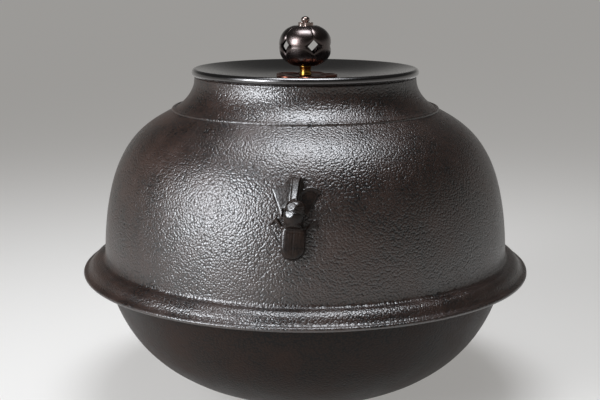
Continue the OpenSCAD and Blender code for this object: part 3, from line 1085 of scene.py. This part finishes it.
    def build(self, iron: bpy.types.Material, dull: bpy.types.Material) -> None:
        """Shapes the lug once, and lays and dresses it at the front and at the back.

        Args:
            iron: Finish of the lugs.
            dull: Finish of their lower half.
        """
        bm = bmesh.new()
        self.shape_crest(bm)
        self.shape_keel(bm)
        self.shape_body(bm)
        bmesh.ops.recalc_face_normals(bm, faces=bm.faces[:])
        flat = self.fuse(bm)
        self.engrave(flat)
        for place, side in (("front", 0.0), ("back", 180.0)):
            lug = flat.copy()
            self.lay(lug, side)
            bmesh.ops.recalc_face_normals(lug, faces=lug.faces[:])
            made = add_piece(
                f"insect_lug_{place}", lug, iron, Body.KETTLE, [f"lug_{place}"], crease=60.0,
            )
            facing = math.cos(math.radians(side))
            dress_part(made, dull, lambda face: self.stays_dull(face, facing))
        flat.free()


@dataclass
class DishedLid:
    """The bronze lid: rounded edge, shallow dish and a lip that keeps it on the mouth."""

    casting: KettleCasting
    overhang: float = 1.5
    edge_t: float = 4.4
    dish: float = 5.6
    plate_t: float = 2.6
    slope: float = 10.0
    edge_reach: float = 15.0
    floor_reach: float = 16.0
    floor_r: float = 19.5
    lip_gap: float = 0.7
    lip_w: float = 2.4
    lip_h: float = 5.0
    lip_round: float = 0.5
    pin_hole_d: float = 3.2
    columns: int = 240

    def dish_z(self) -> float:
        """Gives the height of the dish's level middle."""
        return self.casting.body_h + self.edge_t - self.dish

    def outline(self) -> list[Vector]:
        """Draws the lid's section as a ring round the pin hole."""
        edge_r = self.edge_t / 2
        rim_z = self.casting.body_h
        wall_r = self.casting.mouth_d / 2 + self.casting.wall
        edge = Vector((wall_r + self.overhang - edge_r, rim_z + edge_r))
        edge_end = edge + polar(edge_r, 90 + self.slope)
        floor = Vector((self.floor_r, self.dish_z()))
        dish = curve([
            edge_end, edge_end - polar(self.edge_reach, self.slope),
            floor + Vector((self.floor_reach, 0)), floor,
        ], steps=30)
        lip_out = self.casting.mouth_d / 2 - self.lip_gap
        lip_in = lip_out - self.lip_w
        lip_z = rim_z - self.lip_h
        under = [p for p in beside(dish, self.plate_t) if p.x < lip_in]
        hole_r = self.pin_hole_d / 2
        soft = self.lip_round
        return [
            Vector((hole_r, self.dish_z() - self.plate_t)),
            *reversed(under),
            *arc(Vector((lip_in + soft, lip_z + soft)), soft, 180, 270, steps=4),
            *arc(Vector((lip_out - soft, lip_z + soft)), soft, 270, 360, steps=4),
            Vector((lip_out, rim_z)),
            *arc(edge, edge_r, -90, 90 + self.slope, steps=26),
            *dish[1:],
            Vector((hole_r, self.dish_z())),
        ]

    def build(self, bronze: bpy.types.Material) -> None:
        """Builds the lid and dresses it in bronze."""
        bm = spun(self.outline(), self.columns, closed=True)
        add_piece("dished_lid", bm, bronze, Body.LID, ["lid_plate"])


@dataclass
class OpenworkKnob:
    """The knob: petal seat, turned stem, hollow ball of ten puffed panels, calyx and finial."""

    lid: DishedLid
    ball_d: float = 30.0
    ball_h: float = 24.0
    # Fullness of the ball, 2 for a plain oval
    fullness: float = 2.4
    shell_t: float = 2.0
    # How far the panels stand out between their seams and how soon they fall to them, and the seams' size
    puff: float = 0.12
    puff_w: float = 1.5
    seam: float = 0.12
    seam_w: float = 0.26
    # Width over which the panels fade in from the poles
    pole_fade: float = 2.5
    # Measure from which a point is outside, where 1 lies on the hollow's oval
    outside: float = 1.12
    # Depth and width of the rounding to the windows
    window_sink: float = 0.5
    window_sink_w: float = 1.7
    window_w: float = 8.4
    window_h: float = 8.6
    # Turn of the first window from the front towards +X and least angle of a sharp edge, in degrees
    window_turn: float = 22.5
    window_crease: float = 35.0
    stem_d: float = 7.2
    stem_waist_d: float = 6.2
    stem_h: float = 5.9
    stem_round: float = 0.35
    pole_seat: float = 0.8
    # How far the ball's flattened poles reach over the ends of the stem and the calyx
    pole_lap: float = 0.05
    seat_d: float = 37.0
    petal_d: float = 16.8
    seat_t: float = 1.0
    # Depth of a petal's hollow, and how far from the edge and from the axis it begins and is full
    petal_depth: float = 0.5
    hollow_inset: Corner = (0.7, 2.1)
    hollow_r: Corner = (4.4, 6.4)
    # Share of the depth that a vein fills, its width, and the radii at which it ends and is full
    vein: float = 0.5
    vein_w: float = 0.5
    vein_r: Corner = (14.5, 11.0)
    # Depth and width of the rounding along the edge
    edge_sink: float = 0.25
    edge_sink_w: float = 0.35
    # How far the petals curl up towards their tips, and the radius at which they begin to
    petal_curl: float = 0.8
    curl_from_r: float = 6.0
    # How far below the petals' rims their patina begins
    rub: float = 0.1
    calyx_d: float = 9.0
    calyx_petal_d: float = 4.2
    calyx_h: float = 1.2
    # Rise of the calyx's tips and where it begins, and depth, place and width of the groove before them
    tip_rise: float = 0.7
    tip_from: float = 0.45
    tip_sink: float = 0.5
    tip_sink_at: float = 0.55
    tip_sink_w: float = 0.25
    pin_d: float = 3.0
    finial_d: float = 5.0
    finial_h: float = 3.8
    finial_neck_h: float = 0.4
    # Width of the finial's collar, as a share of the bead's
    collar_share: float = 0.9
    washer_t: float = 1.0
    peen_d: float = 5.6
    peen_h: float = 1.2
    columns: int = 160

    def stem_z(self) -> float:
        """Gives the height of the stem's foot."""
        return self.lid.dish_z() + self.seat_t

    def ball_z(self) -> float:
        """Gives the height of the ball's middle."""
        return self.stem_z() + self.stem_h + self.ball_h / 2 - self.pole_seat

    def calyx_z(self) -> float:
        """Gives the height of the calyx's foot."""
        return self.ball_z() + self.ball_h / 2 - self.pole_seat

    def turn(self) -> float:
        """Gives the angle of the first window from +X, in radians."""
        return math.radians(self.window_turn - 90)

    def petal_ring(
        self, wide: float, petal_d: float, low: float, thick: float, rows: int, columns: int,
        relief: Callable[[float, float, float], float],
    ) -> bmesh.types.BMesh:
        """Shapes a plate of five round petals round the pin.

        Args:
            wide: Width over the petals' circle.
            petal_d: Width of a petal.
            low: Height of the plate's underside.
            thick: Thickness of the plate.
            rows: Rings of faces on its top.
            columns: Steps round the pin.
            relief: Gives the rise of the top from the share of the way out, the radius and the angle.

        Returns:
            A closed mesh in metres.
        """
        hole_r = self.lid.pin_hole_d / 2
        edge_r = wide / 2
        petal_r = petal_d / 2
        radii = [edge_r + (hole_r - edge_r) * i / rows for i in range(rows + 1)]
        top = [Vector((r, low + thick)) for r in radii]
        bm = spun([Vector((hole_r, low)), Vector((edge_r, low)), *top], columns, closed=True)
        for vert in bm.verts:
            x, y, z = vert.co / MM
            angle = petal_angle(x, y, self.turn())
            share = (math.hypot(x, y) - hole_r) / (edge_r - hole_r)
            r = hole_r + share * (petal_edge(angle, edge_r - petal_r, petal_r) - hole_r)
            if z > low + thick / 2:
                z += relief(share, r, angle)
            scale = r / math.hypot(x, y)
            vert.co = Vector((x * scale, y * scale, z)) * MM
        bmesh.ops.recalc_face_normals(bm, faces=bm.faces[:])
        return bm

    def seat_rise(self, r: float, angle: float) -> float:
        """Gives the relief of the seat: raised rims, hollow petals with a vein, and curled tips.

        Args:
            r: Distance from the axis.
            angle: Angle from the middle of the petal, in radians.

        Returns:
            How far the top rises there.
        """
        petal_r = self.petal_d / 2
        reach = self.seat_d / 2 - petal_r
        inset = petal_r - math.hypot(r * math.cos(angle) - reach, r * math.sin(angle))
        hollow = smooth_step(*self.hollow_inset, inset) * smooth_step(*self.hollow_r, r)
        vein = self.vein * dent(r * math.sin(angle), self.vein_w) * smooth_step(*self.vein_r, r)
        sunk = self.petal_depth * hollow * (1 - vein) + self.edge_sink * dent(inset, self.edge_sink_w)
        return self.petal_curl * smooth_step(self.curl_from_r, self.seat_d / 2, r) - sunk

    def calyx_rise(self, share: float) -> float:
        """Gives the relief of the calyx, whose tips turn up behind a groove, at a share of the way out."""
        groove = self.tip_sink * dent(share - self.tip_sink_at, self.tip_sink_w)
        return self.tip_rise * smooth_step(self.tip_from, 1.0, share) - groove

    def seat(self) -> bmesh.types.BMesh:
        """Shapes the petal seat."""
        low = self.lid.dish_z()
        return self.petal_ring(
            self.seat_d, self.petal_d, low, self.seat_t, rows=34, columns=2 * self.columns,
            relief=lambda share, r, angle: self.seat_rise(r, angle),
        )

    def calyx(self) -> bmesh.types.BMesh:
        """Shapes the domed calyx under the finial."""
        low = self.calyx_z()
        return self.petal_ring(
            self.calyx_d, self.calyx_petal_d, low, self.calyx_h, rows=14, columns=self.columns,
            relief=lambda share, r, angle: self.calyx_rise(share),
        )

    def stem(self) -> bmesh.types.BMesh:
        """Shapes the turned stem.

        Returns:
            A closed mesh in metres.
        """
        r = self.stem_d / 2
        waist = self.stem_waist_d / 2
        hole_r = self.lid.pin_hole_d / 2
        z = self.stem_z()
        step = self.stem_h / 6
        side = [Vector(p) for p in (
            (r, z + step), (waist, z + 2 * step), (waist, z + 4 * step), (r, z + 5 * step),
        )]
        soft = self.stem_round
        outline = [
            Vector((hole_r, z)),
            *arc(Vector((r - soft, z + soft)), soft, -90, 0, steps=4),
            *curve(side, steps=14),
            *arc(Vector((r - soft, z + self.stem_h - soft)), soft, 0, 90, steps=4),
            Vector((hole_r, z + self.stem_h)),
        ]
        return spun(outline, columns=64, closed=True)

    def window_planes(self, fold: int) -> list[tuple[Vector, Vector]]:
        """Gives the four sides of a window as planes along its axis.

        Args:
            fold: Number of the window.

        Returns:
            A point and an outward normal of each plane.
        """
        angle = self.turn() + fold * FOLD_ANGLE
        across = Vector((-math.sin(angle), math.cos(angle), 0))
        up = Vector((0, 0, 1))
        middle = Vector((0, 0, self.ball_z() * MM))
        planes = []
        for side in (-1, 1):
            for rise in (-1, 1):
                normal = (across * side / self.window_w + up * rise / self.window_h).normalized()
                planes.append((middle + across * (side * self.window_w / 2 * MM), normal))
        return planes

    def window_gap(self, place: Vector, fold: int, planes: Sequence[tuple[Vector, Vector]]) -> float:
        """Gives the distance of a place from a window's edge, below 0 inside it, in millimetres.

        Args:
            place: Place in metres.
            fold: Number of the window.
            planes: The window's four sides.

        Returns:
            The distance.
        """
        angle = self.turn() + fold * FOLD_ANGLE
        if place.x * math.cos(angle) + place.y * math.sin(angle) < 0:
            return self.ball_d
        return max((place - point).dot(normal) for point, normal in planes) / MM

    def faces_within(
        self, bm: bmesh.types.BMesh, gap: float, fold: int, planes: Sequence[tuple[Vector, Vector]]
    ) -> list[bmesh.types.BMFace]:
        """Finds the faces whose middles are nearer to a window's edge than a gap, or inside it."""
        return [f for f in bm.faces if self.window_gap(f.calc_center_median(), fold, planes) < gap]

    def cut_windows(self, bm: bmesh.types.BMesh) -> None:
        """Cuts the five diamond windows through the shell and lines them.

        Args:
            bm: Mesh of the hollow ball.
        """
        snap = MM / 1000
        for fold in range(FOLDS):
            planes = self.window_planes(fold)
            for point, normal in planes:
                near = self.faces_within(bm, self.shell_t, fold, planes)
                edges = dict.fromkeys(e for f in near for e in f.edges)
                verts = dict.fromkeys(v for f in near for v in f.verts)
                parts = [*near, *edges, *verts]
                bmesh.ops.bisect_plane(bm, geom=parts, dist=snap, plane_co=point, plane_no=normal)
            bmesh.ops.delete(bm, geom=self.faces_within(bm, 0, fold, planes), context="FACES")
            open_edges = [e for e in bm.edges if e.is_boundary]
            bmesh.ops.bridge_loops(bm, edges=open_edges)

    def puff_panels(self, bm: bmesh.types.BMesh) -> None:
        """Rounds the ten panels off towards their seams and towards the windows.

        Args:
            bm: Mesh of the hollow ball with its windows.
        """
        bm.normal_update()
        middle = Vector((0, 0, self.ball_z() * MM))
        inner_r = self.ball_d / 2 - self.shell_t
        inner_half = self.ball_h / 2 - self.shell_t
        wide, tall = self.ball_d ** 2, self.ball_h ** 2
        windows = [self.window_planes(fold) for fold in range(FOLDS)]
        for vert in bm.verts:
            x, y, z = (vert.co - middle) / MM
            flat_r = math.hypot(x, y)
            oval = (flat_r / inner_r) ** self.fullness + (abs(z) / inner_half) ** self.fullness
            if oval <= self.outside:
                continue
            meridian = flat_r * abs(math.sin(petal_angle(x, y, self.turn())))
            fold = round((math.atan2(y, x) - self.turn()) / FOLD_ANGLE) % FOLDS
            gap = min(meridian, abs(z))
            window = max(self.window_gap(vert.co, fold, windows[fold]), 0.0)
            near_pole = smooth_step(self.stem_d / 2, self.stem_d / 2 + self.pole_fade, flat_r)
            swell = self.puff * (1 - (1 - min(meridian / self.puff_w, 1.0)) ** 2)
            swell -= self.seam * dent(gap, self.seam_w)
            swell -= self.window_sink * (1 - min(window / self.window_sink_w, 1.0)) ** 2
            outward = Vector((x / wide, y / wide, z / tall)).normalized()
            vert.co += outward * swell * near_pole * MM

    def full_oval(self, wide: float, half: float, angle: float) -> Vector:
        """Gives a point of the ball's full oval.

        Args:
            wide: Half its width.
            half: Half its height.
            angle: Angle from level, in radians.

        Returns:
            Radius and height from the ball's middle.
        """
        power = 2 / self.fullness
        rise = math.copysign(abs(math.sin(angle)) ** power, angle)
        return Vector((wide * math.cos(angle) ** power, half * rise))

    def ball(self) -> bmesh.types.BMesh:
        """Shapes the openwork ball.

        Returns:
            A closed mesh in metres.
        """
        hole_r = self.lid.pin_hole_d / 2
        rows = 84
        outline = []
        for inset, turns in ((0.0, range(rows + 1)), (self.shell_t, range(rows, -1, -1))):
            wide = self.ball_d / 2 - inset
            half = self.ball_h / 2 - inset
            pole = math.acos((hole_r / wide) ** (self.fullness / 2))
            angles = [pole * (2 * i / rows - 1) for i in turns]
            outline += [Vector((0, self.ball_z())) + self.full_oval(wide, half, a) for a in angles]
        bm = spun(outline, self.columns, closed=True)
        flat_low = self.stem_z() + self.stem_h - self.pole_lap
        flat_high = self.calyx_z() + self.pole_lap
        for vert in bm.verts:
            vert.co.z = min(max(vert.co.z, flat_low * MM), flat_high * MM)
        self.cut_windows(bm)
        self.puff_panels(bm)
        bmesh.ops.recalc_face_normals(bm, faces=bm.faces[:])
        return bm

    def pin(self) -> bmesh.types.BMesh:
        """Shapes the pin with its bead finial and its peened end.

        Returns:
            A closed mesh in metres.
        """
        r = self.pin_d / 2
        bead_r = self.finial_d / 2
        bead_half = self.finial_h / 2
        washer_z = self.lid.dish_z() - self.lid.plate_t - self.washer_t
        neck_z = self.calyx_z() + self.calyx_h
        bead_z = neck_z + self.finial_neck_h + bead_half
        collar = self.collar_share * bead_r
        bead = arc(Vector((0, 0)), 1, -50, 90, steps=22)
        outline = [
            Vector((0, washer_z - self.peen_h)),
            Vector((r, washer_z - self.peen_h)),
            Vector((self.peen_d / 2, washer_z)),
            Vector((r, washer_z)),
            Vector((r, neck_z)),
            Vector((collar, neck_z)),
            Vector((collar, neck_z + self.finial_neck_h / 2)),
            *(Vector((bead_r * p.x, bead_z + bead_half * p.y)) for p in bead),
        ]
        return spun(outline, columns=48, closed=False)

    def seat_finish(self) -> WornMetal:
        """Gives the red copper finish of the seat, with its patina in the petals' hollows."""
        rim_z = self.stem_z()
        return WornMetal(
            "copper_chased_red_patina", "#8f5f4e", "#4a2018", 0.32, 0.06, cloud=5.0, wave=2.5, wave_h=0.02,
            hollow_z=rim_z - self.petal_depth, rim_z=rim_z - self.rub,
        )

    def build(self) -> None:
        """Builds and dresses the knob from its seat upwards."""
        pale_copper = FINIAL_COPPER.material()
        brass = STEM_BRASS.material()
        red_copper = self.seat_finish().material()
        bronze = KNOB_BRONZE.material()
        for name, bm, material, slot, node, crease in (
            ("petal_seat", self.seat(), red_copper, Slot.SEAT_COPPER, "knob_seat", CREASE),
            ("turned_stem", self.stem(), brass, Slot.STEM_BRASS, "knob_stem", CREASE),
            ("openwork_ball", self.ball(), bronze, Slot.KNOB_BRONZE, "knob_shell", self.window_crease),
            ("petal_calyx", self.calyx(), pale_copper, Slot.FINIAL_COPPER, "knob_calyx", CREASE),
            ("finial_pin", self.pin(), pale_copper, Slot.FINIAL_COPPER, "knob_pin", CREASE),
        ):
            add_piece(name, bm, material, Body.LID, [node], crease)
        dress_node("under_washer", brass)


@dataclass
class Softbox:
    """A soft lamp, placed round the kettle as seen from the camera."""

    name: str
    # Turn from the front towards +X and height over the horizon, in degrees
    turn: float
    rise: float
    # Distance from the kettle's middle, width and height
    distance: float
    width: float
    height: float
    # Brightness of its face, where 1 is white
    radiance: float
    # Angle in degrees to which its grid narrows the light
    spread: float
    colour: str = "#f5f9ff"

    def build(self, target: Vector) -> None:
        """Builds the lamp.

        Args:
            target: Point that the lamp faces, in metres.
        """
        lamp = bpy.data.lights.new(self.name, "AREA")
        lamp.shape = "RECTANGLE"
        lamp.size = self.width * MM
        lamp.size_y = self.height * MM
        lamp.color = linear(self.colour)[:3]
        lamp.spread = math.radians(self.spread)
        # A grid gathers the light, so the power comes down to keep the brightness of the face
        half = lamp.spread / 2
        gathered = math.tan(half) / (math.tan(half) - half)
        lamp.energy = self.radiance * math.pi * lamp.size * lamp.size_y / gathered
        made = add_object(self.name, lamp)
        turn = math.radians(self.turn)
        rise = math.radians(self.rise)
        way = Vector((math.sin(turn) * math.cos(rise), -math.cos(turn) * math.cos(rise), math.sin(rise)))
        made.location = target + way * self.distance * MM
        made.rotation_euler = way.to_track_quat("Z", "Y").to_euler()


@dataclass
class Studio:
    """Pale floor, soft lamps and the camera at the photograph's viewing angle."""

    # Camera: distance from the kettle's axis, height over the floor, turn towards +X and dip
    camera_distance: float = 634.0
    camera_height: float = 246.4
    camera_turn: float = 2.5
    camera_dip: float = 11.86
    # The photograph's width, focal length and the column of the kettle's axis, in pixels
    image_w: float = 600.0
    focal_px: float = 1096.0
    axis_px: float = 305.3
    sensor_w: float = 36.0
    floor_colour: str = "#bebcb9"
    floor_size: float = 40000.0
    # Light that the floor adds for the eye and for reflections only
    floor_lift: float = 0.60
    sky: float = 0.08
    # Height over the horizon, in degrees, up to which the room is pale
    horizon: float = 22.0
    lamp_target_z: float = 120.0
    lamps: list[Softbox] = field(default_factory=lambda: [
        Softbox(
            "key_softbox", turn=-48, rise=20, distance=1150, width=900, height=950,
            radiance=3.6, spread=90,
        ),
        Softbox(
            "key_core", turn=-47, rise=20, distance=1140, width=430, height=480,
            radiance=17.0, spread=90,
        ),
        Softbox(
            "top_softbox", turn=4, rise=82, distance=950, width=900, height=600,
            radiance=2.2, spread=80,
        ),
        Softbox(
            "top_core", turn=0, rise=88, distance=940, width=560, height=380,
            radiance=12.0, spread=80,
        ),
    ])

    def build_camera(self) -> None:
        """Builds the camera."""
        lens = bpy.data.cameras.new("photo_camera")
        lens.sensor_width = self.sensor_w
        lens.lens = self.focal_px / self.image_w * self.sensor_w
        lens.clip_start = 0.01
        made = add_object("photo_camera", lens)
        turn = math.radians(self.camera_turn)
        away = self.camera_distance
        made.location = Vector((math.sin(turn) * away, -math.cos(turn) * away, self.camera_height)) * MM
        swing = math.atan((self.axis_px - self.image_w / 2) / self.focal_px)
        made.rotation_euler = (math.radians(90 - self.camera_dip), 0, turn + swing)
        bpy.context.scene.camera = made

    def shown(self, tree: bpy.types.NodeTree) -> bpy.types.NodeSocket:
        """Adds the nodes that tell what is seen or reflected from what only lights.

        Args:
            tree: Node tree of the floor or of the room.

        Returns:
            A socket that is 1 for camera, glossy and transmission rays, and otherwise 0.
        """
        path = add_node(tree, "ShaderNodeLightPath", {}).outputs
        seen = add_node(tree, "ShaderNodeMath", {
            0: path["Is Camera Ray"], 1: path["Is Glossy Ray"],
        }, operation="MAXIMUM").outputs[0]
        return add_node(tree, "ShaderNodeMath", {
            0: seen, 1: path["Is Transmission Ray"],
        }, operation="MAXIMUM").outputs[0]

    def build_floor(self) -> None:
        """Builds the pale floor, which keeps the kettle's shadow."""
        bm = bmesh.new()
        bmesh.ops.create_grid(bm, x_segments=2, y_segments=2, size=self.floor_size / 2 * MM)
        floor = add_mesh("studio_floor", bm)
        material, tree, _ = new_material("matt_paper_floor")
        lift = add_node(tree, "ShaderNodeMath", {
            0: self.shown(tree), 1: self.floor_lift,
        }, operation="MULTIPLY").outputs[0]
        paper = add_node(tree, "ShaderNodeBsdfDiffuse", {"Color": linear(self.floor_colour)}).outputs[0]
        glow = add_node(tree, "ShaderNodeEmission", {
            "Color": linear(self.floor_colour), "Strength": lift,
        }).outputs[0]
        both = add_node(tree, "ShaderNodeAddShader", {0: paper, 1: glow}).outputs[0]
        add_node(tree, "ShaderNodeOutputMaterial", {"Surface": both})
        floor.data.materials.append(material)

    def build_sky(self) -> None:
        """Sets the even fill light of the room, as pale as the floor at the horizon and dark above."""
        world = bpy.data.worlds.new("studio_room")
        world.use_nodes = True
        tree = world.node_tree
        tree.nodes.clear()
        way = add_node(tree, "ShaderNodeTexCoord", {}).outputs["Generated"]
        height = add_node(tree, "ShaderNodeSeparateXYZ", {0: way}).outputs["Z"]
        fade = add_node(tree, "ShaderNodeMapRange", {
            "Value": height, "From Max": math.sin(math.radians(self.horizon)),
            "To Min": self.floor_lift, "To Max": 0.0,
        }, interpolation_type="SMOOTHSTEP").outputs[0]
        glow = add_node(tree, "ShaderNodeMath", {
            0: self.shown(tree), 1: fade, 2: self.sky,
        }, operation="MULTIPLY_ADD").outputs[0]
        fill = add_node(tree, "ShaderNodeBackground", {
            "Color": linear(self.floor_colour), "Strength": glow,
        }).outputs[0]
        add_node(tree, "ShaderNodeOutputWorld", {"Surface": fill})
        bpy.context.scene.world = world

    def build(self) -> None:
        """Builds the whole studio and sets plain colour handling."""
        self.build_camera()
        self.build_floor()
        self.build_sky()
        for lamp in self.lamps:
            lamp.build(Vector((0, 0, self.lamp_target_z * MM)))
        bpy.context.scene.view_settings.view_transform = "Standard"


def main() -> None:
    """Builds the studio and the kettle's pieces in order."""
    logging.basicConfig(level=logging.INFO, format="%(message)s")
    Studio().build()
    iron = IRON_SKIN.material()
    casting = KettleCasting()
    casting.build(iron, SOOT_AND_SHADE_IRON.material())
    InsectLug(casting).build(LUG_IRON.material(), LUG_DULL.material())
    for i in range(FOLDS):
        dress_node(f"singing_plate_{i + 1}", iron)
    lid = DishedLid(casting)
    lid.build(LID_BRONZE.material())
    OpenworkKnob(lid).build()


if __name__ == "__main__":
    main()
